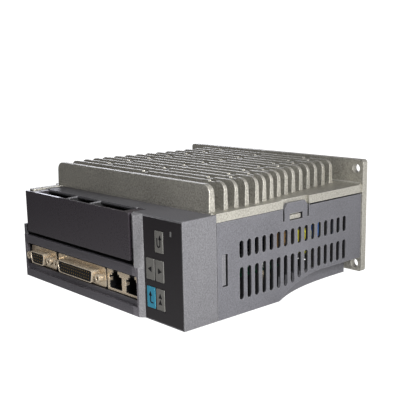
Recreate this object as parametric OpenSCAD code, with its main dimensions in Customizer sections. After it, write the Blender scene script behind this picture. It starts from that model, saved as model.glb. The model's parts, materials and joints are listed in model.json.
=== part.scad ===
// Servo drive lying on its right side: +X is its upper end, -Y its front, +Z its finned side.
// All sizes are in millimetres. The lowest face lies on z = 0.

/* [Body] */
// Height of the drive between its two vented ends
body_l = 162; // [160:1:166]
// Width of the plastic housing
body_w = 60; // [60:0.5:62]
// Depth from the front face to the front of the mounting flange
body_d = 153; // [152:1:156]
// Depth of the front housing
front_d = 24.4; // [24.4:0.1:25]
// Wall thickness of the housings
wall = 2; // [1.8:0.1:2.2]

/* [Heatsink] */
// Number of thin cooling fins behind the thick front fin
fin_count = 14; // [10:1:14]
// Height of the fins over the base plate
fin_h = 15.5; // [10:0.5:20]
// Spacing of the fins
fin_pitch = 8.3; // [8:0.1:8.3]
// Thickness of the mounting flange
flange_t = 4.5; // [3:0.5:6]
// Diameter of the four mounting holes
mount_d = 5.8; // [5:0.1:6]
// Spacing of the mounting holes along the height of the drive
mount_x = 153; // [150:0.5:154]
// Spacing of the mounting holes across the drive
mount_z = 63; // [60:0.5:64]

/* [Vents] */
// Number of vent slots in each row
vent_count = 16; // [8:1:16]
// Spacing of the vent slots
vent_pitch = 6.15; // [5:0.05:6.2]
// Width of each vent slot
vent_w = 3.5; // [2:0.1:4]

/* [Front panel] */
// Width of a key
key_w = 6.9; // [6:0.1:7]
// Length of a key
key_l = 12.1; // [10:0.1:12.4]
// How far a key can be pressed
key_travel = 0.5; // [0.3:0.1:0.5]
// Depth by which the connector tray stands forward
tray_out = 2.4; // [2:0.1:3]

/* [Hidden] */
$fn = 40;
e = 0.05;
base_z1 = body_w + 0.5;
base_z0 = body_w - 4.4;
fin_z = base_z1 + fin_h;
fl_x0 = -1;
fl_x1 = body_l + 1;
fl_z0 = 2.7;
fl_z1 = fin_z + 0.5;
mid_x = body_l / 2;
mount_zc = 39.2;
fin1_y = 23.3;
fin2_y = 34.9;
vent_y = 43.5;
tab_y0 = 79.5;
tab_y1 = 99.8;
conn_z = 15.2;
de_x = 17.8;
de_jack = 12.495;
db_jack = 23.52;
db_x = 62.8;
jack_x = [de_x - de_jack, de_x + de_jack, db_x - db_jack, db_x + db_jack];
rj_x = [99.4, 115.7];
rj_z = 8.9;
slit = 1.6;
seam = 0.4;
con_y = 1.2;
cov_x0 = 4.9;
cov_x1 = 118.9;
cov_z0 = 31.8;
cov_z1 = 59.6;
lip_y = 9.5;
slot_x0 = 16.5;
slot_x1 = 112.3;
ridge_x = 120.3;
lug_x1 = 10.6;
hinge_y = 1.6;
hinge_z = 33.6;
ov_x0 = 128.9;
ov_x1 = body_l - 0.7;
ov_z0 = 0.7;
ov_z1 = body_w - 1;
key_x = [134.5, 142.6];
key_z = [13.5, 29.8, 46.2];
pad_x = [131.5, 157.8];
pad_z = [4.2, 55.6];
digit_z0 = 10.4;
digit_pitch = 8.1;
cells = [[17.5, 49.6, 4], [51.7, 74.8, 3], [77, 119, 5]];
entry = 5.6;
cap_x = [38, 62, 86, 110];
ctl_z = 6.8;
pwr_z = 44;

// Puts the origin under the middle of the whole drive.
module placed() {
    translate([-mid_x, -(body_d + flange_t - 4.3) / 2, 0]) children();
}

// Rounded rectangle between two corners, in its own plane.
module rr(x0, y0, x1, y1, r) {
    translate([x0 + r, y0]) square([x1 - x0 - 2 * r, y1 - y0]);
    translate([x0, y0 + r]) square([x1 - x0, y1 - y0 - 2 * r]);
    for (x = [x0 + r, x1 - r]) for (y = [y0 + r, y1 - r]) translate([x, y]) circle(r);
}

// Box given by two corners.
module bx(a, b) {
    translate(a) cube(b - a);
}

// Extrusion along Y of a shape drawn in X and Z, from y0 to y1.
module along_y(y0, y1) {
    translate([0, y1, 0]) rotate([90, 0, 0]) linear_extrude(y1 - y0) children();
}

// Extrusion along X of a shape drawn in Y and Z, from x0 to x1.
module along_x(x0, x1) {
    translate([x0, 0, 0]) rotate([90, 0, 90]) linear_extrude(x1 - x0) children();
}

// Round bar along Y or along X.
module rod_y(x, z, d, y0, y1) {
    translate([x, y1, z]) rotate([90, 0, 0]) cylinder(d = d, h = y1 - y0);
}
module rod_x(y, z, d, x0, x1) {
    translate([x0, y, z]) rotate([0, 90, 0]) cylinder(d = d, h = x1 - x0);
}
module rod_z(x, y, d, z0, z1) {
    translate([x, y, z0]) cylinder(d = d, h = z1 - z0);
}

// Second copy mirrored to the other vented end.
module both_ends() {
    children();
    translate([body_l, 0, 0]) mirror([1, 0, 0]) children();
}

// How far the fin ends draw back from the vented ends, as a function of depth.
function fin_back(y) = y < 62 ? 0 : 13.5 * (1 - pow(1 - (y - 62) / 100, 2));

// How far the screw scoop is cut into a vented end, and how high its roof is.
function scoop_in(y) = 12.8 * (1 - pow(1 - (y - 75) / 78.5, 3));
function scoop_up(y) = y < 80 ? 0.4 + (y - 75) * 0.72 : 12.4 - 8.4 * pow(max(0, 1 - (y - 80) / 34), 2);

// One tapered fin with round upper corners, standing on the base plate.
module one_fin(y, t0, t1, x0, x1) {
    intersection() {
        along_x(x0, x1) polygon([[y, base_z1], [y + t0, base_z1], [y + (t0 + t1) / 2, fin_z],
                                 [y + (t0 - t1) / 2, fin_z]]);
        along_y(y - 1, y + t0 + 1) union() {
            translate([x0, base_z1 - 1]) square([x1 - x0, fin_h - 4]);
            rr(x0, base_z1, x1, fin_z, 5);
        }
    }
}

module front_fin() {
    color([0.72, 0.71, 0.67]) one_fin(fin1_y, 4.8, 3.6, 5, body_l - 4.4);
}

// Thin fins. Each has two shallow round marks in its edge, left where the casting is pushed out of its mould.
module cooling_fins() {
    color([0.72, 0.71, 0.67]) for (i = [0 : fin_count - 1]) {
        y = fin2_y + i * fin_pitch;
        b = fin_back(y + 1.7);
        mark_x = i % 2 == 0 ? [87, 147 - b] : [39 + b / 3, 137 - b];
        difference() {
            one_fin(y, 3.4, 2.2, 4.9 + b, body_l - 4.9 - b);
            for (x = mark_x) rod_z(x, y + 1.7, 5.8, fin_z - 0.8, fin_z + 1);
        }
    }
}

module mounting_flange() {
    color([0.72, 0.71, 0.67]) difference() {
        along_y(body_d, body_d + flange_t) rr(fl_x0, fl_z0, fl_x1, fl_z1, 2);
        for (x = [-1, 1]) for (z = [-1, 1])
            rod_y(mid_x + x * mount_x / 2, mount_zc + z * mount_z / 2, mount_d, body_d - 1,
                  body_d + flange_t + 1);
    }
}

module heatsink_base() {
    color([0.72, 0.71, 0.67]) difference() {
        union() {
            bx([0, front_d + 0.2, base_z0], [body_l, body_d, base_z1]);
            bx([3, fin1_y, base_z0], [body_l - 3, front_d + 1, base_z1]);
            // fillet against the flange
            along_x(1, body_l - 1) difference() {
                translate([body_d - 1.5, base_z1 - e]) square([1.5, 1.5]);
                translate([body_d - 1.5, base_z1 + 1.5]) circle(1.5);
            }
        }
        both_ends()
            bx([body_l - 2.4, tab_y0 - slit, base_z0 - 0.2], [body_l + 1, tab_y1 + slit, base_z1 + 1]);
        for (x = [20, 142]) for (y = [34, 144]) rod_z(x, y, 2.5, base_z0 - 1, base_z0 + 3.4);
    }
}

// Lug of the casting that reaches the front and takes the earth screw.
module earth_lug() {
    color([0.72, 0.71, 0.67]) difference() {
        translate([0, 0, base_z0 + 1]) linear_extrude(base_z1 - base_z0 - 1) {
            rr(5, 0.2, lug_x1, 12, 1.8);
            translate([5, 6]) square([lug_x1 - 5, fin1_y - 6]);
        }
        rod_z(7.8, 8, 2.5, base_z0 - 1, base_z1 + 1);
    }
}

// Catches under the base plate that hold the latches of the rear cover.
module cover_catches() {
    color([0.72, 0.71, 0.67]) both_ends() {
        bx([body_l - 4.4, tab_y0 + 5, base_z0 - 8.6], [body_l - 2.6, tab_y1 - 5, base_z0]);
        bx([body_l - 2.7, tab_y0 + 5.2, base_z0 - 7.4], [body_l - 1, tab_y1 - 5.2, base_z0 - 5]);
    }
}

// Outline in X and Y of the tray, its ramp and the ridge beside the terminal cover.
module tray_plan() {
    polygon([[-1, 0.5], [-1, -tray_out + 0.6], [-0.4, -tray_out], [125.9, -tray_out], [ov_x0, 0],
             [ov_x0, 0.5]]);
}
module ridge_plan() {
    polygon([[ridge_x, 0.5], [ridge_x, -1.4], [123.2, -tray_out - 0.3], [ov_x0, 0], [ov_x0, 0.5]]);
}

module front_housing() {
    color([0.42, 0.42, 0.44]) {
        difference() {
            union() {
                bx([-1, 0, 0], [body_l, front_d, 36]);
                along_y(0, front_d) rr(cov_x0, 0, body_l, body_w, 0.8);
                linear_extrude(28.9) tray_plan();
                // ridge whose top slopes up to the top of the housing
                difference() {
                    translate([0, 0, 28.8]) linear_extrude(body_w - 28.8) ridge_plan();
                    along_x(ridge_x - 1, ov_x0 + 1)
                        polygon([[-tray_out - 1, 58.1], [0.4, body_w], [0.4, body_w + 1],
                                 [-tray_out - 1, body_w + 1]]);
                }
                bx([-1, -tray_out + 0.6, 28.8], [cov_x0 - 0.5, 0.1, 36]);
            }
            // keypad chamber and its pocket for the dark overlay
            bx([ov_x0 - 1, 2.6, wall], [body_l - wall, front_d + 1, body_w - wall]);
            bx([ov_x0, -1, ov_z0], [ov_x1, 0.8, ov_z1]);
            for (r = [0 : 2]) for (c = [0, 1]) if (r < 2 || c == 1)
                bx([key_x[c] - key_w / 2 - 0.3, -1, key_z[r] - key_l / 2 - 0.3],
                   [key_x[c] + key_w / 2 + 0.3, 4, key_z[r] + key_l / 2 + 0.3]);
            bx([149.5, 0, 6.8], [159.5, 3, 47.5]);
            rod_y(152.4, 52, 2.4, 0, 3);
            // open back of the connector tray and the terminal bay
            bx([1.4, 4.4, wall], [ov_x0 - 2.4, front_d + 1, 28.9 - wall]);
            bx([1.4, -tray_out - 1, 8.6], [124.4, con_y + 1, 23.6]);
            bx([1.4, -tray_out - 1, 5.2], [124.4, -0.6, 8.7]);
            bx([de_x - 9.9, 0, conn_z - 5.6], [de_x + 9.9, 5, conn_z + 5.6]);
            bx([db_x - 21, 0, conn_z - 5.6], [db_x + 21, 5, conn_z + 5.6]);
            bx([91.2, 0, rj_z - 0.2], [124, 5, rj_z + 13]);
            for (x = jack_x) rod_y(x, conn_z, 3.4, 0, 5);
            bx([13.2 + 1.8, -1, 31], [121.3, front_d + 1, body_w - wall]);
            bx([1.4, -tray_out - 1, 28.9], [121.3, 3.9, 39.6]);
            bx([cov_x0 - 1, -tray_out - 1, 36], [ridge_x, 0.4, body_w + 1]);
            // wire slot, and the step around it that the cover's lip lies on
            bx([slot_x0, -4, body_w - wall - 1], [ridge_x, 8.9, body_w + 1]);
            bx([lug_x1, -1, cov_z1 - 1.6], [slot_x0 + 0.4, lip_y + 0.4, body_w + 1]);
            bx([slot_x1 - 0.4, -1, cov_z1 - 1.6], [ridge_x, lip_y + 0.4, body_w + 1]);
            // room for the heatsink lug and the first fin
            bx([4.7, -1, base_z0 + 0.8], [lug_x1 + 0.3, front_d + 1, body_w + 1]);
            bx([2.7, fin1_y - 0.2, base_z0 - 0.2], [body_l - 2.7, front_d + 1, body_w + 1]);
            bx([1.4, 3.8, 31], [13.4, front_d + 1, 36 - wall]);
            bx([cov_x0 + wall, 3.8, 31], [13.4, front_d + 1, base_z0 - 1]);
        }
        // bosses that carry the keypad board
        for (x = pad_x) for (z = pad_z) difference() {
            rod_y(x, z, 4, 2.5, 8);
            rod_y(x, z, 2, 3, 9);
        }
        // partitions of the terminal bay
        for (x = [50, 75.3]) along_x(x, x + 1.3)
            polygon([[0.4, 37], [0.4, cov_z1 - 0.4], [8.8, body_w - 0.2], [9, body_w - 0.2],
                     [12, body_w - wall + e], [20, body_w - wall + e], [20, 28.9], [3.9, 28.9], [3.9, 37]]);
        // hinge ears of the terminal cover
        difference() {
            union() {
                for (x = [5.2, 117]) {
                    rod_x(hinge_y, hinge_z, 3.4, x, x + 1.7);
                    bx([x, hinge_y, hinge_z - 1.6], [x + 1.7, 4.8, hinge_z + 1.7]);
                }
                bx([4.9, 3.8, hinge_z - 0.5], [6.9, 6, 37]);
                bx([117, 3.6, hinge_z - 1.6], [121.5, 4.8, hinge_z + 1.7]);
            }
            rod_x(hinge_y, hinge_z, 2.1, 4, 122);
        }
        // snap tongues that show in the narrow windows of the rear cover
        for (x = [3.6, body_l - 3.6]) {
            s = x < 80 ? -1 : 1;
            bx([x - 0.7, 20, 14], [x + 0.7, 37, 42]);
            bx([min(x, x + s * 2.6), 29.6, 19.2], [max(x, x + s * 2.6), 31.9, 36.6]);
            bx([min(x + s * 0.7, x + s * 2), 20, 14], [max(x + s * 0.7, x + s * 2), front_d - 1, 42]);
        }
    }
}

// Depth of the scoop's i-th station of n.
function scoop_y(i, n) = 75 + (body_d - 73) * i / n;

// Space cut out of a vented end so that a lower mounting screw can be reached.
module scoop(g) {
    n = 14;
    y1 = body_d + 2;
    intersection() {
        translate([0, 0, -2]) linear_extrude(40)
            polygon(concat([for (i = [0 : n])
                                [body_l - scoop_in(scoop_y(i, n)) - g, scoop_y(i, n) - (i == 0 ? g : 0)]],
                           [[body_l + 2, y1], [body_l + 2, 75 - g]]));
        along_x(body_l - 30, body_l + 2)
            polygon(concat([[75 - g, -1]],
                           [for (i = [0 : n])
                                [scoop_y(i, n) - (i == 0 ? g : 0), scoop_up(scoop_y(i, n)) + g]],
                           [[y1, -1]]));
    }
}

// Pattern of the vent slots in Y and Z.
module vents() {
    w = vent_w;
    for (i = [0 : vent_count - 1]) {
        y = vent_y + i * vent_pitch;
        low = max(8.3, scoop_up(y) + 2);
        for (z = [[32.6, 42.8], [low, 27.4]]) {
            translate([y - w / 2, z[0] + w / 2]) square([w, z[1] - z[0] - w]);
            translate([y, z[0] + w / 2]) circle(d = w);
            translate([y, z[1] - w / 2]) circle(d = w);
        }
    }
}

module vent_cover() {
    y0 = front_d + seam;
    y1 = body_d;
    top = base_z0 - seam;
    color([0.38, 0.38, 0.40]) difference() {
        union() {
            bx([0, y0, 0], [body_l, y1, top]);
            both_ends() along_x(body_l - wall, body_l)
                polygon([[tab_y0, top - 1], [tab_y0, top], [tab_y0 + 2.4, base_z0 + 2.7],
                         [tab_y1 - 2.4, base_z0 + 2.7], [tab_y1, top], [tab_y1, top - 1]]);
        }
        both_ends() scoop(0);
        difference() {
            bx([wall, y0 - 1, wall], [body_l - wall, y1 + 1, top + 1]);
            both_ends() scoop(wall);
        }
        both_ends() {
            along_x(body_l - wall - 1, body_l + 1) vents();
            bx([body_l - 5, 28.6, 18.6], [body_l + 1, 32.8, 37.2]);
            for (y = [tab_y0 - slit, tab_y1]) bx([body_l - 5, y, 47.8], [body_l + 1, y + slit, top + 1]);
            bx([body_l - 5, 84, 47.6], [body_l + 1, 95.6, 51.7]);
            bx([body_l - 5, tab_y1 + 2, top - 0.6], [body_l + 1, y1 + 1, top + 1]);
        }
        ctl_points() cylinder(d = 3.2, h = 3 * wall, center = true);
    }
}

// The four fixing points of the control board.
module ctl_points() {
    for (x = [12, 118]) translate([x, 36, 0]) children();
    for (x = [21, 118]) translate([x, 106, 0]) children();
}

module keypad_overlay() {
    color([0.1, 0.09, 0.1]) difference() {
        bx([ov_x0, 0, ov_z0], [ov_x1, 0.8, ov_z1]);
        for (r = [0 : 2]) for (c = [0, 1]) if (r < 2 || c == 1)
            bx([key_x[c] - key_w / 2 - 0.3, -1, key_z[r] - key_l / 2 - 0.3],
               [key_x[c] + key_w / 2 + 0.3, 2, key_z[r] + key_l / 2 + 0.3]);
        bx([151.6, -1, 50.5], [153.2, 2, 53.5]);
    }
}

// One key: cap, collar behind the wall and the stub that meets its switch.
module key(c, r) {
    x = key_x[c];
    z = key_z[r];
    along_y(-0.3, 3) rr(x - key_w / 2, z - key_l / 2, x + key_w / 2, z + key_l / 2, 0.4);
    bx([x - 3.8, 2.9, z - 6.9], [x + 3.8, 3.5, z + 6.9]);
}

module key_back() {
    color([0.4, 0.4, 0.38]) key(1, 2);
}
module key_down() {
    color([0.4, 0.4, 0.38]) key(0, 1);
}
module key_up() {
    color([0.4, 0.4, 0.38]) key(1, 1);
}
module key_enter() {
    color([0.2, 0.6, 0.75]) key(0, 0);
}
module key_shift() {
    color([0.4, 0.4, 0.38]) key(1, 0);
}

module status_light() {
    color([0.75, 0.75, 0.72]) {
        bx([151.7, 0.1, 50.6], [153.1, 0.8, 53.4]);
        rod_y(152.4, 52, 2.2, 0.8, 8);
    }
}

module keypad_board() {
    color([0.05, 0.3, 0.15]) difference() {
        bx([129, 8, 2.3], [159.7, 9.6, 57.6]);
        for (x = pad_x) for (z = pad_z) rod_y(x, z, 2.2, 7, 10);
    }
}

module keypad_board_screws() {
    color([0.75, 0.75, 0.73]) for (x = pad_x) for (z = pad_z) {
        rod_y(x, z, 2, 3.4, 9.7);
        rod_y(x, z, 3.8, 9.6, 11);
    }
}

module key_switches() {
    color([0.12, 0.12, 0.12]) for (r = [0 : 2]) for (c = [0, 1]) if (r < 2 || c == 1) {
        bx([key_x[c] - 3, 5, key_z[r] - 3], [key_x[c] + 3, 8, key_z[r] + 3]);
        rod_y(key_x[c], key_z[r], 3.2, 4.3, 5.1);
    }
}

// Display block: body, and one raised bar for each segment of each digit.
module digit_display() {
    color([0.09, 0.08, 0.08]) difference() {
        bx([149.8, 1.1, 7], [159.2, 8, 47.2]);
        for (k = [0 : 4]) translate([0, 0, digit_z0 + k * digit_pitch]) {
            for (x = [151.2, 154.2, 157.2]) bx([x, 0, -1.8], [x + 0.8, 1.5, 1.8]);
            for (x = [152.1, 155.1]) for (z = [-2.8, 2]) bx([x, 0, z], [x + 2, 1.5, z + 0.8]);
        }
    }
}

module display_segments() {
    color([0.5, 0.1, 0.08]) for (k = [0 : 4]) translate([0, 0, digit_z0 + k * digit_pitch]) {
        for (x = [151.2, 154.2, 157.2]) bx([x, 1.15, -1.8], [x + 0.8, 1.5, 1.8]);
        for (x = [152.1, 155.1]) for (z = [-2.8, 2]) bx([x, 1.15, z], [x + 2, 1.5, z + 0.8]);
    }
}

// Hinged cover of the terminals: front wall, and a lip on top that leaves the wire slot open.
module terminal_cover() {
    color([0.22, 0.2, 0.22]) {
        along_y(-tray_out, -tray_out + 1.8) rr(cov_x0, cov_z0, cov_x1, cov_z1, 0.6);
        bx([lug_x1 + 0.3, -tray_out + 0.9, cov_z1 - 1.3], [slot_x0, lip_y, cov_z1]);
        bx([slot_x1, -tray_out + 0.9, cov_z1 - 1.3], [cov_x1, lip_y, cov_z1]);
        for (x = [7.3, 110.4]) {
            bx([x, -1, cov_z0 + 0.3], [x + 6.2, hinge_y, cov_z0 + 2.8]);
            rod_x(hinge_y, hinge_z, 3, x, x + 6.2);
        }
        rod_x(hinge_y, hinge_z, 2, 5.4, 8);
        rod_x(hinge_y, hinge_z, 2, 116, 118.5);
    }
}

// Pluggable terminal block in one cell of the bay.
module term_block(i) {
    c = cells[i];
    n = c[2];
    p = (c[1] - c[0]) / n;
    difference() {
        union() {
            bx([c[0], 6, 32], [c[1], 23, 52]);
            bx([c[0], 10, 52], [c[1], 23, 56]);
        }
        for (k = [0 : n - 1]) {
            x = c[0] + (k + 0.5) * p;
            bx([x - entry / 2, 5, 41], [x + entry / 2, 14, 41 + entry]);
            rod_z(x, 14, 5, 50, 57);
        }
    }
}
module power_terminals() {
    color([0.13, 0.13, 0.13]) term_block(0);
}
module brake_terminals() {
    color([0.13, 0.13, 0.13]) term_block(1);
}
module motor_terminals() {
    color([0.13, 0.13, 0.13]) term_block(2);
}

module terminal_screws() {
    color([0.8, 0.8, 0.78]) for (c = cells) for (k = [0 : c[2] - 1]) {
        x = c[0] + (k + 0.5) * (c[1] - c[0]) / c[2];
        difference() {
            rod_z(x, 14, 4.6, 50, 53.4);
            bx([x - 3, 13.6, 52.4], [x + 3, 14.4, 54]);
        }
    }
}

// Plate and flared shell of a D shaped connector, centred on its own axis.
module d_shape(w, h) {
    s = 1.1;
    polygon([[-w / 2 + 1, h / 2], [w / 2 - 1, h / 2], [w / 2, h / 2 - 1], [w / 2 - s, -h / 2 + 1],
             [w / 2 - s - 1, -h / 2], [-w / 2 + s + 1, -h / 2], [-w / 2 + s, -h / 2 + 1],
             [-w / 2, h / 2 - 1]]);
}
module d_shell(x, w, pw, jack) {
    difference() {
        union() {
            along_y(con_y, con_y + 1) translate([x, conn_z]) rr(-pw / 2, -6.27, pw / 2, 6.27, 1.6);
            along_y(-4.3, con_y + 0.1) translate([x, conn_z]) d_shape(w, 7.9);
        }
        along_y(-5, con_y + 2) translate([x, conn_z]) d_shape(w - 0.9, 7);
        for (s = [-1, 1]) rod_y(x + s * jack, conn_z, 3.1, con_y - 1, con_y + 2);
    }
}
module d_insert(x, w, n) {
    difference() {
        union() {
            along_y(-3.9, con_y + 1) translate([x, conn_z]) d_shape(w - 1.1, 6.8);
            bx([x - w / 2 - 1, con_y + 1, conn_z - 5.4], [x + w / 2 + 1, 11.5, conn_z + 5.4]);
            bx([x - w / 2 - 1, 4.6, ctl_z + 1.6], [x + w / 2 + 1, 11.5, conn_z - 5.3]);
        }
        for (r = [-1, 0, 1]) for (k = [0 : n - 1])
            rod_y(x + (k - (n - 1) / 2) * 2.3 + r * 0.38, conn_z + r * 2, 1.3, -5, -1);
    }
}
module encoder_shell() {
    color([0.78, 0.72, 0.6]) d_shell(de_x, 16.9, 30.8, de_jack);
}
module encoder_insert() {
    color([0.08, 0.08, 0.09]) d_insert(de_x, 16.9, 5);
}
module control_shell() {
    color([0.78, 0.72, 0.6]) d_shell(db_x, 39, 53, db_jack);
}
module control_insert() {
    color([0.08, 0.08, 0.09]) d_insert(db_x, 39, 14);
}

// Four threaded sockets that hold the plugs of the two D shaped connectors.
module jack_sockets() {
    color([0.8, 0.75, 0.65]) for (x = jack_x) difference() {
        union() {
            rod_y(x, conn_z, 5, con_y - 4.6, con_y);
            rod_y(x, conn_z, 3, con_y - 1, con_y + 5);
        }
        rod_y(x, conn_z, 2.4, con_y - 5.6, con_y + 3);
    }
}

// Mouth of one network socket, stepped for the plug's latch.
module rj_mouth(x, top) {
    translate([x - 6.35, rj_z + 1.4]) square([12.7, 8.1]);
    translate([x - 3.9, rj_z + 9.4]) square([7.8, 1.6]);
    translate([x - 2.45, rj_z + 10.9]) square([4.9, top - rj_z - 10.9]);
}

// Formed metal shield of the network sockets, with a spring finger in the side of each mouth.
module network_shield() {
    color([0.8, 0.76, 0.68]) {
        difference() {
            union() {
                bx([91.4, 0.9, rj_z], [123.8, 17.5, rj_z + 12.8]);
                for (x = [91.4, 123.3]) bx([x, 4.8, ctl_z + 1.6], [x + 0.5, 17.5, rj_z + 1]);
            }
            bx([91.9, 1.5, rj_z + 0.4], [123.3, 18, rj_z + 12.4]);
            along_y(0, 3) for (x = rj_x) rj_mouth(x, rj_z + 14);
        }
        for (x = rj_x) {
            bx([x - 6.6, 1, rj_z + 5.6], [x - 5.9, 1.4, rj_z + 7.6]);
            bx([x - 6.3, 1, rj_z + 5.6], [x - 5.9, 3.4, rj_z + 7.6]);
        }
    }
}
module network_sockets() {
    color([0.09, 0.09, 0.1]) difference() {
        bx([92, 1.6, rj_z + 0.5], [123.2, 17, rj_z + 12.3]);
        along_y(0, 13) for (x = rj_x) rj_mouth(x, rj_z + 11.9);
    }
}
module network_contacts() {
    color([0.85, 0.7, 0.3]) for (x = rj_x) for (k = [0 : 7])
        bx([x - 3.7 + k * 1.02, 6, rj_z + 1.4], [x - 3.4 + k * 1.02, 12.8, rj_z + 2.2]);
}

module control_board() {
    color([0.05, 0.3, 0.15]) difference() {
        translate([0, 0, ctl_z]) linear_extrude(1.6)
            polygon([[4, 4.8], [125, 4.8], [125, 116], [16, 116], [16, 96], [4, 72]]);
        ctl_points() cylinder(d = 3.4, h = 20, center = true);
    }
}
module board_spacers() {
    color([0.8, 0.78, 0.72]) ctl_points() difference() {
        rod_z(0, 0, 6, wall, ctl_z);
        rod_z(0, 0, 2.6, wall - 1, ctl_z + 1);
    }
}
module board_screws() {
    color([0.75, 0.75, 0.73]) ctl_points() {
        rod_z(0, 0, 2.5, wall + 1, ctl_z + 1.7);
        rod_z(0, 0, 5.4, ctl_z + 1.6, ctl_z + 3.6);
    }
}
module processor() {
    color([0.1, 0.1, 0.11]) {
        bx([50, 60, ctl_z + 1.6], [70, 80, ctl_z + 3]);
        bx([82, 62, ctl_z + 1.6], [96, 74, ctl_z + 2.8]);
    }
}
module board_link() {
    color([0.12, 0.12, 0.13]) {
        bx([24, 92, ctl_z + 1.6], [64, 97, ctl_z + 10]);
        bx([24, 92, pwr_z - 8.5], [64, 97, pwr_z]);
    }
}
module board_link_pins() {
    color([0.85, 0.7, 0.3]) for (k = [0 : 13]) translate([25.8 + k * 2.8, 94.2, 0])
        bx([0, 0, ctl_z + 10], [0.7, 0.7, pwr_z - 8.5]);
}

module power_board() {
    color([0.06, 0.28, 0.14]) difference() {
        union() {
            bx([14, 24.8, pwr_z], [157, 148, pwr_z + 1.6]);
            bx([18, 23, pwr_z], [118, 25, pwr_z + 1.6]);
        }
        for (x = [20, 142]) for (y = [34, 144]) rod_z(x, y, 3.4, pwr_z - 1, pwr_z + 3);
    }
}
module power_board_spacers() {
    color([0.8, 0.78, 0.72]) for (x = [20, 142]) for (y = [34, 144]) difference() {
        rod_z(x, y, 6, pwr_z + 1.6, base_z0);
        rod_z(x, y, 3.2, pwr_z, base_z0 + 1);
    }
}
module power_board_screws() {
    color([0.75, 0.75, 0.73]) for (x = [20, 142]) for (y = [34, 144]) {
        rod_z(x, y, 2.4, pwr_z - 0.1, base_z0 + 3.2);
        rod_z(x, y, 5.4, pwr_z - 2, pwr_z);
    }
}
module power_module() {
    color([0.12, 0.12, 0.13]) bx([58, 60, 49], [112, 96, base_z0 - 0.5]);
}
module thermal_pad() {
    color([0.85, 0.85, 0.88]) bx([59, 61, base_z0 - 0.5], [111, 95, base_z0]);
}
module power_module_pins() {
    color([0.8, 0.8, 0.78]) for (k = [0 : 10]) for (y = [62, 93]) translate([62 + k * 4.4, y, 0])
        bx([0, 0, pwr_z + 1.6], [1, 1, 49]);
}
module rectifier() {
    color([0.14, 0.14, 0.15]) bx([26, 66, pwr_z + 1.6], [46, 86, base_z0]);
}
module bus_capacitors() {
    color([0.1, 0.12, 0.2]) for (x = cap_x) difference() {
        rod_z(x, 134, 22, 9, pwr_z);
        rod_z(x, 134, 18, 8, 9.5);
    }
}
module capacitor_vents() {
    color([0.8, 0.8, 0.8]) for (x = cap_x) rod_z(x, 134, 17.8, 9.1, 9.5);
}
module transformer_core() {
    color([0.15, 0.14, 0.14]) difference() {
        bx([139, 99.4, 19], [151, 115.2, pwr_z - 4]);
        bx([138, 102.4, 22.4], [152, 112.1, pwr_z - 6.4]);
    }
}
module transformer_winding() {
    color([0.85, 0.8, 0.1]) bx([134, 102.5, 22.5], [156, 112, pwr_z - 6.5]);
}
module transformer_base() {
    color([0.12, 0.12, 0.12]) bx([134, 99.6, pwr_z - 4], [156, 115, pwr_z]);
}
module film_capacitor() {
    color([0.1, 0.35, 0.75]) bx([146, 117, 28], [156, 123.5, pwr_z]);
}
module relay() {
    color([0.6, 0.42, 0.2]) bx([146, 86, 27], [156, 92, pwr_z]);
}
module line_filter() {
    color([0.35, 0.3, 0.26]) difference() {
        rod_y(112, 30, 25, 34, 47);
        rod_y(112, 30, 12, 33, 48);
    }
}
module line_filter_seat() {
    color([0.12, 0.12, 0.12]) difference() {
        bx([102, 33.5, 37.5], [122, 47.5, pwr_z]);
        rod_y(112, 30, 25.2, 33, 48);
    }
}

placed() heatsink_base();
placed() earth_lug();
placed() cover_catches();
placed() front_fin();
placed() cooling_fins();
placed() mounting_flange();
placed() front_housing();
placed() vent_cover();
placed() keypad_overlay();
placed() key_back();
placed() key_down();
placed() key_up();
placed() key_enter();
placed() key_shift();
placed() status_light();
placed() keypad_board();
placed() keypad_board_screws();
placed() key_switches();
placed() digit_display();
placed() display_segments();
placed() terminal_cover();
placed() power_terminals();
placed() brake_terminals();
placed() motor_terminals();
placed() terminal_screws();
placed() encoder_shell();
placed() encoder_insert();
placed() control_shell();
placed() control_insert();
placed() jack_sockets();
placed() network_shield();
placed() network_sockets();
placed() network_contacts();
placed() control_board();
placed() board_spacers();
placed() board_screws();
placed() processor();
placed() board_link();
placed() board_link_pins();
placed() power_board();
placed() power_board_spacers();
placed() power_board_screws();
placed() power_module();
placed() thermal_pad();
placed() power_module_pins();
placed() rectifier();
placed() bus_capacitors();
placed() capacitor_vents();
placed() transformer_core();
placed() transformer_winding();
placed() transformer_base();
placed() film_capacitor();
placed() relay();
placed() line_filter();
placed() line_filter_seat();
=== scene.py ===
"""Looks of a servo drive that lies on its right side: +X is its vented upper end, -Y its keypad and connector
face, +Z its finned heatsink. Everything is in metres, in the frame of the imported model."""
import json
import math

import bmesh
import bpy
import numpy as np
from mathutils import Matrix, Vector


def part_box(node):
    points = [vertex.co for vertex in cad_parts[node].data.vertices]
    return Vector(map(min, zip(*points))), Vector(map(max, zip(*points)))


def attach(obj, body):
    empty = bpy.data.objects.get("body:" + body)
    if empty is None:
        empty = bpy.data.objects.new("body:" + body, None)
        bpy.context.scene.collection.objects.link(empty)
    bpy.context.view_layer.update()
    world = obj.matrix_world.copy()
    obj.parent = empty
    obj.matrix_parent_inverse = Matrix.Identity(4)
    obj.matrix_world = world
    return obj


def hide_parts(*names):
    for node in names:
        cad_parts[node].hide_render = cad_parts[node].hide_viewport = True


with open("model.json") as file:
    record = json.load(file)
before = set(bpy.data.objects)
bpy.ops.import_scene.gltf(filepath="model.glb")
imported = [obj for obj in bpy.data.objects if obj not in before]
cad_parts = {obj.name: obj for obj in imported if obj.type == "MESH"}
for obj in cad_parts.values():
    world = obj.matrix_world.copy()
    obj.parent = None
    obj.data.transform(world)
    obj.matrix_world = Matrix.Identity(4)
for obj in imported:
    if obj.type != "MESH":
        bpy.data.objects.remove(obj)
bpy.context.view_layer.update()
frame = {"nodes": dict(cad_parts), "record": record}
nodes = frame["nodes"]
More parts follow.
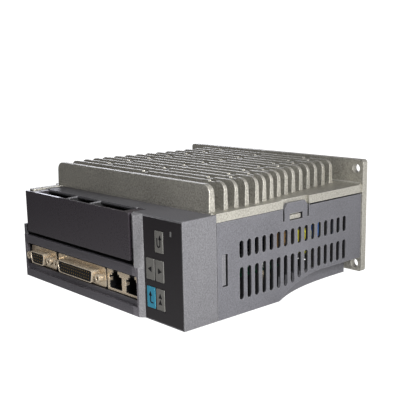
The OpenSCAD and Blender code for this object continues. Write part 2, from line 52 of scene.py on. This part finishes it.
MM = 0.001
BODY = "drive_body"
KEYS = ("back", "down", "up", "enter", "shift")

CAMERA_PLACE = (0.374747, -0.328953, 0.142309)
CAMERA_ANGLES = (50.194, 11.598, -1.648)  # azimuth, elevation and roll in degrees
CAMERA_LENS = 68.855
CAMERA_SHIFT = (0.0738, 0.0431)
BACKDROP_LEVEL = 1.2  # white of the room and the floor as the camera sees them
ROOM_LEVEL = 0.48  # light of the room on the drive, and how it changes along each direction
ROOM_GAINS = (("X", 0.26), ("Y", 0.06), ("Z", -0.28))
FLOOR_LEVEL = 0.55  # light of the floor on the drive, and how it changes for each metre
FLOOR_GAINS = (("X", 1.3), ("Y", 0.5))

# ---------------------------------------------------------------- camera, floor and light


def look_matrix(azimuth, elevation, roll):
    """Rotation whose columns are right, up and back for a camera that looks along azimuth and elevation,
    turned by roll about its own line of sight. Angles are in degrees."""
    a, e, r = (math.radians(v) for v in (azimuth, elevation, roll))
    back = Vector((math.sin(a) * math.cos(e), -math.cos(a) * math.cos(e), math.sin(e)))
    right = Vector((0, 0, 1)).cross(back).normalized()
    up = back.cross(right)
    turned_right = right * math.cos(r) + up * math.sin(r)
    turned_up = up * math.cos(r) - right * math.sin(r)
    return Matrix((turned_right, turned_up, back)).transposed()


def make_camera():
    data = bpy.data.cameras.new("camera")
    data.sensor_fit = "HORIZONTAL"
    data.sensor_width = 36.0
    data.lens = CAMERA_LENS
    data.shift_x, data.shift_y = CAMERA_SHIFT
    data.clip_start = 0.01
    data.clip_end = 20.0
    camera = bpy.data.objects.new("camera", data)
    bpy.context.scene.collection.objects.link(camera)
    camera.matrix_world = Matrix.Translation(CAMERA_PLACE) @ look_matrix(*CAMERA_ANGLES).to_4x4()
    bpy.context.scene.camera = camera


def make_area_light(name, place, target, size, power, tint=(1, 1, 1), spread=180.0):
    """A rectangular lamp at place that faces target. Its power is in watts, its spread in degrees."""
    data = bpy.data.lights.new(name, "AREA")
    data.shape = "RECTANGLE"
    data.size, data.size_y = size
    data.energy = power
    data.color = tint
    data.spread = math.radians(spread)
    light = bpy.data.objects.new(name, data)
    bpy.context.scene.collection.objects.link(light)
    place = Vector(place)
    light.matrix_world = Matrix.Translation(place) @ (
        (Vector(target) - place).to_track_quat("-Z", "Y").to_matrix().to_4x4())
    light.visible_camera = False


def linear_level(tree, axes, base, gains):
    """A chain of shader sums: base plus each gain times its axis of the separated vector."""
    level = base
    for axis, gain in gains:
        share = tree.nodes.new("ShaderNodeMath")
        share.operation = "MULTIPLY_ADD"
        share.inputs[1].default_value = gain
        tree.links.new(axes.outputs[axis], share.inputs[0])
        if isinstance(level, float):
            share.inputs[2].default_value = level
        else:
            tree.links.new(level, share.inputs[2])
        level = share.outputs[0]
    return level


def white_to_camera(tree, unseen, seen, output):
    """Joins two shaders: seen for the camera's own rays, unseen for light that falls on the drive."""
    path = tree.nodes.new("ShaderNodeLightPath")
    choose = tree.nodes.new("ShaderNodeMixShader")
    tree.links.new(path.outputs["Is Camera Ray"], choose.inputs[0])
    tree.links.new(unseen.outputs[0], choose.inputs[1])
    tree.links.new(seen.outputs[0], choose.inputs[2])
    tree.links.new(choose.outputs[0], output.inputs[0])


def make_world():
    """White to the camera. To every other ray it is a dim room, brighter towards +X and darker overhead."""
    world = bpy.data.worlds.new("studio")
    bpy.context.scene.world = world
    world.use_nodes = True
    tree = world.node_tree
    tree.nodes.clear()
    output = tree.nodes.new("ShaderNodeOutputWorld")
    room = tree.nodes.new("ShaderNodeBackground")
    room.inputs["Color"].default_value = (0.97, 0.95, 1.0, 1)
    backdrop = tree.nodes.new("ShaderNodeBackground")
    backdrop.inputs["Color"].default_value = (1, 1, 1, 1)
    backdrop.inputs["Strength"].default_value = BACKDROP_LEVEL
    place = tree.nodes.new("ShaderNodeTexCoord")
    split = tree.nodes.new("ShaderNodeSeparateXYZ")
    tree.links.new(place.outputs["Generated"], split.inputs[0])
    level = linear_level(tree, split, ROOM_LEVEL, ROOM_GAINS)
    tree.links.new(level, room.inputs["Strength"])
    white_to_camera(tree, room, backdrop, output)


def make_floor():
    """A wide pale sheet just under the drive. It glows more towards +X and +Y, and the camera sees it as white
    as the backdrop."""
    half = 4.0
    corners = [(-half, -half, 0), (half, -half, 0), (half, half, 0), (-half, half, 0)]
    mesh = bpy.data.meshes.new("floor")
    mesh.from_pydata(corners, [], [(0, 1, 2, 3)])
    floor = bpy.data.objects.new("floor", mesh)
    bpy.context.scene.collection.objects.link(floor)
    floor.location.z = -0.0002
    paint = bpy.data.materials.new("floor_paint")
    paint.use_nodes = True
    tree = paint.node_tree
    tree.nodes.clear()
    output = tree.nodes.new("ShaderNodeOutputMaterial")
    glow = tree.nodes.new("ShaderNodeEmission")
    sheet = tree.nodes.new("ShaderNodeEmission")
    sheet.inputs["Strength"].default_value = BACKDROP_LEVEL
    place = tree.nodes.new("ShaderNodeTexCoord")
    split = tree.nodes.new("ShaderNodeSeparateXYZ")
    tree.links.new(place.outputs["Object"], split.inputs[0])
    total = linear_level(tree, split, FLOOR_LEVEL, FLOOR_GAINS)
    held = tree.nodes.new("ShaderNodeClamp")
    held.inputs["Min"].default_value = 0.12
    held.inputs["Max"].default_value = 1.3
    tree.links.new(total, held.inputs["Value"])
    tree.links.new(held.outputs[0], glow.inputs["Strength"])
    white_to_camera(tree, glow, sheet, output)
    mesh.materials.append(paint)


def make_studio():
    make_camera()
    make_world()
    make_floor()
    make_area_light("side_softbox", place=(0.43, -0.14, 0.19), target=(0.08, -0.07, 0.055), size=(0.22, 0.16),
                    power=0.92, spread=85.0)
    make_area_light("back_panel", place=(-0.85, 0.62, 0.28), target=(0.0, -0.02, 0.05), size=(0.5, 0.35),
                    power=2.4, tint=(0.88, 0.90, 1.0))
    bpy.context.scene.view_settings.view_transform = "Standard"
    bpy.context.scene.view_settings.look = "None"


# ---------------------------------------------------------------- shader parts


class Sheet:
    """A node tree being filled. add() makes a node with its settings and inputs and links any socket given."""

    def __init__(self, tree):
        self.tree = tree

    def add(self, kind, inputs=None, **settings):
        node = self.tree.nodes.new("ShaderNode" + kind)
        for name, value in settings.items():
            setattr(node, name, value)
        for key, value in (inputs or {}).items():
            if isinstance(value, bpy.types.NodeSocket):
                self.tree.links.new(value, node.inputs[key])
            else:
                node.inputs[key].default_value = value
        return node

    def math(self, operation, a, b=0.0, c=0.0):
        return self.add("Math", {0: a, 1: b, 2: c}, operation=operation).outputs[0]

    def ramp(self, value, low, high, to_low=0.0, to_high=1.0):
        """Maps value from low..high to to_low..to_high, clamped."""
        return self.add("MapRange", {"Value": value, "From Min": low, "From Max": high, "To Min": to_low,
                                     "To Max": to_high}).outputs["Result"]

    def blend(self, factor, first, second):
        """Mixes two colours. Each of the three may be a value or a socket."""
        node = self.add("Mix", data_type="RGBA")
        for key, value in (("Factor", factor), ("A", first), ("B", second)):
            socket = [s for s in node.inputs if s.name == key and s.enabled][0]
            if isinstance(value, bpy.types.NodeSocket):
                self.tree.links.new(value, socket)
            else:
                socket.default_value = value
        return [s for s in node.outputs if s.enabled][0]


def make_group(name, inputs, outputs):
    """An empty shader group with named float or vector sockets, its sheet, and its input and output nodes."""
    group = bpy.data.node_groups.new(name, "ShaderNodeTree")
    for key, default in inputs:
        kind = "NodeSocketVector" if default is None else "NodeSocketFloat"
        socket = group.interface.new_socket(key, in_out="INPUT", socket_type=kind)
        if default is not None:
            socket.default_value = default
    for key in outputs:
        group.interface.new_socket(key, in_out="OUTPUT", socket_type="NodeSocketFloat")
    return group, Sheet(group), group.nodes.new("NodeGroupInput"), group.nodes.new("NodeGroupOutput")


def make_grain_group():
    """Moulded or blasted grain. Shade swings around 0.5 with fine specks and broad mottling. Height is the
    relief."""
    group, sheet, given, out = make_group(
        "surface_grain", [("Vector", None), ("Grain", 1500.0), ("Mottle", 30.0), ("Speck", 0.6)],
        ["Shade", "Height"])
    fine = sheet.add("TexNoise", {"Vector": given.outputs["Vector"], "Scale": given.outputs["Grain"],
                                  "Detail": 2.0, "Roughness": 0.6})
    finer = sheet.add("TexNoise", {"Vector": given.outputs["Vector"],
                                   "Scale": sheet.math("MULTIPLY", given.outputs["Grain"], 2.7),
                                   "Detail": 1.0})
    broad = sheet.add("TexNoise", {"Vector": given.outputs["Vector"], "Scale": given.outputs["Mottle"],
                                   "Detail": 3.0, "Roughness": 0.55})
    specks = sheet.ramp(fine.outputs["Fac"], 0.3, 0.7)
    shade = sheet.math("MULTIPLY_ADD", sheet.math("SUBTRACT", specks, 0.5), given.outputs["Speck"], 0.5)
    shade = sheet.math("MULTIPLY_ADD", sheet.math("SUBTRACT", broad.outputs["Fac"], 0.5), 0.7, shade)
    relief = sheet.math("MULTIPLY_ADD", finer.outputs["Fac"], 0.5, fine.outputs["Fac"])
    sheet.tree.links.new(shade, out.inputs["Shade"])
    sheet.tree.links.new(relief, out.inputs["Height"])
    return group


def make_edge_group():
    """Wear on edges. Mask rises from 0 on flats to 1 on convex and concave edges, broken up by noise: it is how
    far the rounded normal turns from the face's own."""
    group, sheet, given, out = make_group(
        "edge_wear", [("Vector", None), ("Radius", 0.0006), ("Break Up", 400.0)], ["Mask"])
    rounded = sheet.add("Bevel", {"Radius": given.outputs["Radius"]}, samples=4)
    own = sheet.add("NewGeometry").outputs["True Normal"]
    turn = sheet.add("VectorMath", {0: rounded.outputs[0], 1: own}, operation="DOT_PRODUCT").outputs["Value"]
    mask = sheet.ramp(turn, 0.995, 0.8)
    noise = sheet.add("TexNoise", {"Vector": given.outputs["Vector"], "Scale": given.outputs["Break Up"],
                                   "Detail": 3.0})
    worn = sheet.math("MULTIPLY", mask, sheet.ramp(noise.outputs["Fac"], 0.3, 0.6, 0.35, 1.0))
    sheet.tree.links.new(worn, out.inputs["Mask"])
    return group


GROUPS = {"grain": make_grain_group(), "edge": make_edge_group()}


class Finish(Sheet):
    """A material with a Principled shader, Object coordinates, and the shared groups at hand."""

    def __init__(self, name, **plain):
        self.material = bpy.data.materials.new(name)
        self.material.use_nodes = True
        super().__init__(self.material.node_tree)
        self.shader = self.tree.nodes["Principled BSDF"]
        self.place = self.add("TexCoord").outputs["Object"]
        for key, value in plain.items():
            self.shader.inputs[key.replace("_", " ")].default_value = value

    def group(self, key, **values):
        node = self.tree.nodes.new("ShaderNodeGroup")
        node.node_tree = GROUPS[key]
        self.tree.links.new(self.place, node.inputs["Vector"])
        for name, value in values.items():
            node.inputs[name.replace("_", " ")].default_value = value
        return node

    def feed(self, name, socket):
        self.tree.links.new(socket, self.shader.inputs[name])

    def bump(self, height, depth, strength=1.0):
        node = self.add("Bump", {"Height": height, "Distance": depth, "Strength": strength})
        self.feed("Normal", node.outputs[0])


def tone(colour, gain):
    """The colour made gain times as light, with an alpha of 1."""
    return (*(min(1.0, c * gain) for c in colour), 1)


def grained(name, colour, rough, swing, relief, grain=1500.0, mottle=30.0, speck=0.6, edge=None, **plain):
    """A grained surface: colour swings by the share swing, roughness follows it, relief is the depth in metres
    and edge is the colour on its worn edges."""
    f = Finish(name, **plain)
    g = f.group("grain", Grain=grain, Mottle=mottle, Speck=speck)
    shade = g.outputs["Shade"]
    skin = f.blend(shade, tone(colour, 1 - swing), tone(colour, 1 + swing))
    if edge is not None:
        wear = f.group("edge")
        skin = f.blend(wear.outputs["Mask"], skin, (*edge, 1))
    f.feed("Base Color", skin)
    f.feed("Roughness", f.ramp(shade, 0.2, 0.8, rough - 0.06, rough + 0.06))
    f.bump(g.outputs["Height"], relief)
    return f


def cast_metal():
    return grained("cast_aluminium", (0.37, 0.357, 0.312), 0.46, 0.34, 0.00016, grain=1000.0, speck=0.9,
                   edge=(0.55, 0.54, 0.50), Metallic=0.7)


def toned_inside(finish, boxes, gain=(0.12, 0.12, 0.12)):
    """Multiplies the colour by gain where Object coordinates lie inside one of the boxes, each a low and a
    high corner. Left at its default, it is painted shade: the inner faces of a shell read as near black, as if
    in deep shadow."""
    axes = finish.add("SeparateXYZ", {0: finish.place})
    total = 0.0
    for low, high in boxes:
        inside = 1.0
        for i, axis in enumerate("XYZ"):
            above = finish.math("GREATER_THAN", axes.outputs[axis], low[i])
            below = finish.math("LESS_THAN", axes.outputs[axis], high[i])
            inside = finish.math("MULTIPLY", finish.math("MULTIPLY", above, below), inside)
        total = finish.math("MAXIMUM", inside, total)
    skin = finish.shader.inputs["Base Color"].links[0].from_socket
    changed = finish.add("VectorMath", {0: skin, 1: gain}, operation="MULTIPLY").outputs["Vector"]
    finish.feed("Base Color", finish.blend(total, skin, changed))
    return finish


def housing_plastic():
    """Silver grey, darker on the tray, with a painted highlight on the ramp between the tray and the keypad and
    painted shade on the inside faces.
    """
    f = grained("silver_grey_plastic", (0.100, 0.099, 0.105), 0.5, 0.34, 0.00009, grain=1150.0, speck=0.8,
                edge=(0.2, 0.2, 0.205), Specular_IOR_Level=0.35)
    low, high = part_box("front_housing")
    past = Vector((MM, MM, MM))
    ramp_start, ramp_end = low.x + 121.3 * MM, low.x + 129.9 * MM
    tray_end, tray_top = low.x + 126.9 * MM, low.z + 29 * MM
    keypad_face = low.y + 2.7 * MM
    wall = 1.2 * MM
    ramp = (ramp_start, low.y - MM, low.z - MM), (ramp_end, keypad_face + 0.05 * MM, high.z + MM)
    tray = low - past, (tray_end, keypad_face + 0.4 * MM, tray_top)
    left_wall = 1.6 * MM
    hollow = (low.x + left_wall, keypad_face, low.z + wall), (high.x - wall, high.y + MM, high.z - wall)
    # painted highlight: the ramp's colour is raised to stand for the sheen the side light throws on it
    toned_inside(f, [ramp], gain=(1.7, 1.7, 1.66))
    toned_inside(f, [tray], gain=(0.80, 0.76, 0.81))
    # painted shade: the inner faces of the housing are darkened to near black
    return toned_inside(f, [hollow])


def vent_plastic():
    """Blue grey, with painted shade that makes the inside faces near black. The hollow is taken in three parts,
    so that the screw scoops at its low corners keep their outer colour."""
    f = grained("blue_grey_plastic", (0.086, 0.0855, 0.094), 0.5, 0.34, 0.00009, grain=1150.0, speck=0.8,
                edge=(0.2, 0.2, 0.21), Specular_IOR_Level=0.35)
    low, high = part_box("vent_cover")
    skin = 0.7 * MM
    scoop_height, scoop_depth, scoop_start = 14.7 * MM, 14.5 * MM, 49 * MM
    front, back, top = low.y - MM, high.y - 2 * MM, high.z - 4 * MM
    above_scoops = (low.x + skin, front, low.z + scoop_height), (high.x - skin, back, top)
    between_scoops = (low.x + scoop_depth, front, low.z + skin), (high.x - scoop_depth, back, top)
    before_scoops = (low.x + skin, front, low.z + skin), (high.x - skin, low.y + scoop_start, top)
    # painted shade: the inner faces of the cover are darkened to near black
    return toned_inside(f, [above_scoops, between_scoops, before_scoops])


def overlay_film():
    return grained("smoked_overlay", (0.013, 0.0108, 0.0125), 0.34, 0.4, 0.00002, grain=1700.0,
                   Specular_IOR_Level=0.3)


def cover_plastic():
    return grained("dark_cover_plastic", (0.036, 0.030, 0.0365), 0.3, 0.1, 0.00001, grain=1500.0,
                   edge=(0.07, 0.066, 0.07), Specular_IOR_Level=0.5)


def key_plastic():
    return grained("grey_key", (0.145, 0.142, 0.13), 0.45, 0.22, 0.00004, grain=1500.0,
                   edge=(0.22, 0.22, 0.21), Specular_IOR_Level=0.3)


def blue_key_plastic():
    return grained("blue_key", (0.03, 0.24, 0.36), 0.45, 0.1, 0.00003, grain=2200.0, edge=(0.12, 0.4, 0.5),
                   Specular_IOR_Level=0.3)


def icon_ink():
    return grained("icon_ink", (0.006, 0.006, 0.007), 0.5, 0.3, 0.00001, grain=3500.0, Specular_IOR_Level=0.2)


def light_pipe():
    return grained("frosted_light_pipe", (0.16, 0.16, 0.155), 0.4, 0.1, 0.00002, grain=2600.0)


def black_moulding():
    return grained("black_moulding", (0.007, 0.007, 0.008), 0.5, 0.3, 0.00004, grain=1500.0,
                   edge=(0.03, 0.03, 0.032), Specular_IOR_Level=0.15)


def red_diffuser():
    return grained("red_diffuser", (0.09, 0.008, 0.006), 0.35, 0.15, 0.00002, grain=2600.0)


def zinc_plate():
    return grained("zinc_plate", (0.55, 0.56, 0.54), 0.32, 0.16, 0.00003, grain=1200.0,
                   edge=(0.75, 0.75, 0.74), Metallic=1.0)


def warm_nickel():
    return grained("warm_nickel", (0.72, 0.60, 0.44), 0.26, 0.12, 0.00002, grain=1500.0, mottle=140.0,
                   edge=(1.0, 0.93, 0.8), Metallic=0.6)


def gold_flash():
    return grained("gold_flash", (0.72, 0.5, 0.18), 0.28, 0.1, 0.00001, grain=2500.0, Metallic=1.0)


def gap_pad():
    return grained("gap_pad", (0.4, 0.42, 0.5), 0.75, 0.14, 0.00005, grain=900.0)


def ferrite():
    return grained("ferrite", (0.045, 0.042, 0.042), 0.55, 0.25, 0.00006, grain=1100.0,
                   edge=(0.12, 0.11, 0.11))


def relay_case():
    return grained("amber_case", (0.30, 0.17, 0.06), 0.4, 0.14, 0.00003, grain=1200.0,
                   edge=(0.42, 0.27, 0.12))


def epoxy_box():
    return grained("blue_epoxy", (0.025, 0.13, 0.45), 0.3, 0.12, 0.00005, grain=500.0, edge=(0.1, 0.25, 0.6))


def wound_tape():
    """Yellow tape laid on in turns: its ridges are the bands of a wave along Z."""
    f = grained("yellow_tape", (0.72, 0.66, 0.04), 0.35, 0.1, 0.00003, grain=900.0)
    lap = f.add("TexWave", {"Vector": f.place, "Scale": 110.0, "Distortion": 0.6, "Detail": 1.0},
                bands_direction="Z").outputs["Fac"]
    f.bump(lap, 0.0002, 0.6)
    return f


def capacitor_sleeve():
    """Dark blue shrink sleeve."""
    return grained("shrink_sleeve", (0.015, 0.02, 0.055), 0.25, 0.3, 0.00003, grain=700.0)


def circuit_board():
    """Green solder resist over copper. Tracks are the joints of a brick pattern, pads are small dots."""
    f = Finish("green_circuit_board", Roughness=0.3)
    g = f.group("grain", Grain=1800.0, Mottle=60.0, Speck=0.4)
    tracks = f.add("TexBrick", {"Vector": f.place, "Scale": 120.0, "Mortar Size": 0.035, "Mortar Smooth": 0.2,
                                "Brick Width": 0.9, "Row Height": 0.23}, offset=0.37).outputs["Fac"]
    dots = f.add("TexVoronoi", {"Vector": f.place, "Scale": 330.0, "Randomness": 0.35}).outputs["Distance"]
    pads = f.ramp(dots, 0.2, 0.16)
    resist = f.blend(g.outputs["Shade"], (0.002, 0.024, 0.011, 1), (0.004, 0.04, 0.018, 1))
    over_copper = f.blend(tracks, resist, (0.008, 0.07, 0.03, 1))
    f.feed("Base Color", f.blend(pads, over_copper, (0.16, 0.16, 0.14, 1)))
    f.bump(f.math("ADD", tracks, pads), 0.00008, 0.6)
    return f


SLOT_FINISHES = {
    "cast_metal": cast_metal, "housing_plastic": housing_plastic, "overlay": overlay_film,
    "cover_plastic": cover_plastic, "key_grey": key_plastic, "key_blue": blue_key_plastic,
    "light_pipe": light_pipe, "board_green": circuit_board, "black_plastic": black_moulding,
    "segment_red": red_diffuser, "zinc_steel": zinc_plate, "nickel": warm_nickel, "gold": gold_flash,
    "pad": gap_pad, "capacitor_sleeve": capacitor_sleeve, "ferrite": ferrite, "yellow_tape": wound_tape,
    "blue_box": epoxy_box, "amber_box": relay_case,
}
finishes = {key: make().material for key, make in SLOT_FINISHES.items()}
finishes["vent_plastic"] = vent_plastic().material
finishes["icon_ink"] = icon_ink().material
slot_of = {part["node"]: part["material_slot"] for part in frame["record"]["subparts"]}


def dress_nodes():
    """Gives every CAD node the finish of its slot."""
    for name, node in nodes.items():
        material = finishes["vent_plastic" if name == "vent_cover" else slot_of[name]]
        node.data.materials.clear()
        node.data.materials.append(material)
        for polygon in node.data.polygons:
            polygon.material_index = 0


# ---------------------------------------------------------------- rounded copies of the CAD nodes

SHARP = 35.0  # degrees between two faces from which their edge is rounded

def smooth_by_angle(mesh, degrees):
    mesh.polygons.foreach_set("use_smooth", [True] * len(mesh.polygons))
    mesh.set_sharp_from_angle(angle=math.radians(degrees))


def soften(node, radius, body=BODY, segments=2):
    """The CAD node's own shape with its triangles merged, flats joined and every sharp edge rounded by radius.
    It stands for the node."""
    shell = bmesh.new()
    shell.from_mesh(nodes[node].data)
    bmesh.ops.remove_doubles(shell, verts=shell.verts, dist=0.001 * MM)
    bmesh.ops.dissolve_limit(shell, angle_limit=math.radians(0.3), verts=shell.verts, edges=shell.edges)
    mesh = bpy.data.meshes.new(node + "_moulded")
    shell.to_mesh(mesh)
    shell.free()
    mesh.materials.append(nodes[node].data.materials[0])
    for polygon in mesh.polygons:
        polygon.material_index = 0
    smooth_by_angle(mesh, SHARP)
    piece = bpy.data.objects.new(node + "_moulded", mesh)
    bpy.context.scene.collection.objects.link(piece)
    bevel = piece.modifiers.new("rounding", "BEVEL")
    bevel.width = radius
    bevel.segments = segments
    bevel.limit_method = "ANGLE"
    bevel.angle_limit = math.radians(SHARP)
    bevel.use_clamp_overlap = True
    bevel.harden_normals = True
    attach(piece, body)
    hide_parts(node)


# node: rounding in millimetres
OUTER_ROUNDING = {"heatsink_base": 0.25, "earth_lug": 0.3, "front_fin": 0.4, "cooling_fins": 0.3,
                  "mounting_flange": 0.5, "front_housing": 0.3, "vent_cover": 0.3}
PLATED_ROUNDING = {"encoder_shell": 0.15, "control_shell": 0.15, "jack_sockets": 0.15, "network_shield": 0.15}
INNER_ROUNDING = {"film_capacitor": 1.2, "relay": 0.5, "transformer_winding": 1.6, "transformer_core": 0.4,
                  "bus_capacitors": 0.5, "line_filter": 1.5, "power_module": 0.5, "rectifier": 0.4}


def soften_nodes():
    for node, radius in OUTER_ROUNDING.items():
        soften(node, radius * MM)
    soften("terminal_cover", 0.35 * MM, body="cover_door")
    for key in KEYS:
        soften("key_" + key, 0.2 * MM, body="key_" + key + "_cap")
    for node, radius in PLATED_ROUNDING.items():
        soften(node, radius * MM)
    for node, radius in INNER_ROUNDING.items():
        soften(node, radius * MM, segments=3)


# ---------------------------------------------------------------- new pieces


def add_piece(name, verts, faces, material, body, slot):
    """A new piece of the drive from its points and faces, riding on body."""
    mesh = bpy.data.meshes.new(name)
    mesh.from_pydata(np.asarray(verts, float).tolist(), [], faces)
    mesh.materials.append(finishes[material])
    smooth_by_angle(mesh, 40.0)
    piece = bpy.data.objects.new(name, mesh)
    bpy.context.scene.collection.objects.link(piece)
    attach(piece, body)


def ribbon(path, width):
    """Outline of a flat band: the points of path moved half the width to each side, square to the path."""
    path = np.asarray(path, float)
    step = np.gradient(path, axis=0)
    step /= np.linalg.norm(step, axis=1, keepdims=True)
    side = np.stack([-step[:, 1], step[:, 0]], axis=1) * width / 2
    return np.concatenate([path + side, (path - side)[::-1]])


def slab(outline, centre, face_y, thickness):
    """A flat icon on a key: outline holds (right, up) pairs with right along -Z and up along +X. The front
    lies thickness out from face_y, towards -Y. Returns its points and faces."""
    area = np.sum(outline[:, 0] * np.roll(outline[:, 1], -1) - np.roll(outline[:, 0], -1) * outline[:, 1])
    if area < 0:
        outline = outline[::-1]
    n = len(outline)
    x = centre[0] + outline[:, 1]
    z = centre[1] - outline[:, 0]
    front = np.stack([x, np.full(n, face_y - thickness), z], axis=1)
    back = np.stack([x, np.full(n, face_y + 0.05 * MM), z], axis=1)
    ring = [((i + 1) % n, i, n + i, n + (i + 1) % n) for i in range(n)]
    return np.concatenate([front, back]), [tuple(range(n)), tuple(range(2 * n - 1, n - 1, -1)), *ring]


def joined(shapes):
    """Several (points, faces) pairs as one."""
    points, faces, start = [], [], 0
    for verts, loops in shapes:
        points.append(verts)
        faces += [tuple(start + i for i in loop) for loop in loops]
        start += len(verts)
    return np.concatenate(points), faces


def triangle(tip, size, middle=(0.0, 0.0)):
    """A triangle that points along tip, an angle in degrees in the icon's plane. Its other two corners stand
    2.2 radians to each side, as far from the middle as the tip."""
    a = math.radians(tip) + np.array([0.0, 2.2, -2.2])
    return np.stack([middle[0] + size * np.cos(a), middle[1] + size * np.sin(a)], axis=1)


def arc(middle, radius, start, end, n=12):
    """Points at middle + radius (cos a, sin a), with a from start to end in degrees."""
    a = np.radians(np.linspace(start, end, n))
    return np.stack([middle[0] + radius * np.cos(a), middle[1] + radius * np.sin(a)], axis=1)


def icon_outlines():
    """Outlines of each key's icon in millimetres, as lists of (right, up) pairs."""
    line = 0.8
    u_turn = np.concatenate([[(-2.0, 1.15), (1.5, 1.15)], arc((1.5, -0.1), 1.25, 90, -90), [(-2.2, -1.35)]])
    bent = np.concatenate([[(3.0, 2.0), (3.0, 0.3)], arc((2.2, 0.3), 0.8, 0, -90, 6), [(-1.4, -0.5)]])
    return {
        "back": [ribbon(u_turn, line), triangle(180, 1.7, (-2.4, 1.15))],
        "down": [triangle(-90, 2.1)],
        "up": [triangle(90, 2.1)],
        "enter": [ribbon(bent, line), triangle(180, 1.8, (-1.8, -0.5))],
        "shift": [triangle(180, 1.9, (-1.9, 0)), triangle(180, 1.9, (1.6, 0))],
    }


def add_key_icons():
    for key, outlines in icon_outlines().items():
        low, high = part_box("key_" + key)
        centre = ((low.x + high.x) / 2, (low.z + high.z) / 2)
        shape = joined([slab(outline * MM, centre, low.y, 0.04 * MM) for outline in outlines])
        add_piece("icon_" + key, *shape, "icon_ink", "key_" + key + "_cap", slot_of["key_" + key])


def revolved(profile, centre, turns=10):
    """A ring about a line along Y through centre = (x, z). The profile holds closed (radius, y) pairs. Point i
    of turn j lies at x + r sin(2 pi j / turns), z + r cos(2 pi j / turns)."""
    profile = np.asarray(profile, float)
    count = len(profile)
    a = np.linspace(0.0, 2 * math.pi, turns, endpoint=False)[:, None]
    x = centre[0] + profile[:, 0] * np.sin(a)
    y = np.broadcast_to(profile[:, 1], (turns, count))
    z = centre[1] + profile[:, 0] * np.cos(a)
    points = np.stack([x, y, z], axis=2).reshape(-1, 3)
    faces = []
    for j in range(turns):
        for i in range(count):
            here, there = j * count, (j + 1) % turns * count
            step = (i + 1) % count
            faces.append((here + i, here + step, there + step, there + i))
    return points, faces


def add_socket_contacts():
    """Spring sockets of the two D shaped connectors, in three rows that step sideways. Each is a tube whose
    rim narrows to an edge at its front."""
    row_gap, row_step, pitch = 2 * MM, 0.38 * MM, 2.3 * MM
    bore, rim, outside = 0.34 * MM, 0.45 * MM, 0.56 * MM
    for connector, columns in (("encoder", 5), ("control", 14)):
        low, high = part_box(connector + "_insert")
        middle = (low.x + high.x) / 2
        level = high.z - 5.4 * MM
        front, back = low.y + 0.25 * MM, low.y + 2.5 * MM
        shoulder = front + 0.1 * MM
        wall = [(rim, front), (bore, shoulder), (bore, back), (outside, back), (outside, shoulder)]
        tubes = []
        for row in (-1, 0, 1):
            for column in range(columns):
                x = middle + (column - (columns - 1) / 2) * pitch + row * row_step
                tubes.append(revolved(wall, (x, level + row * row_gap)))
        add_piece(connector + "_contacts", *joined(tubes), "gold", BODY, "gold")


# ---------------------------------------------------------------- build

make_studio()
dress_nodes()
soften_nodes()
add_key_icons()
add_socket_contacts()
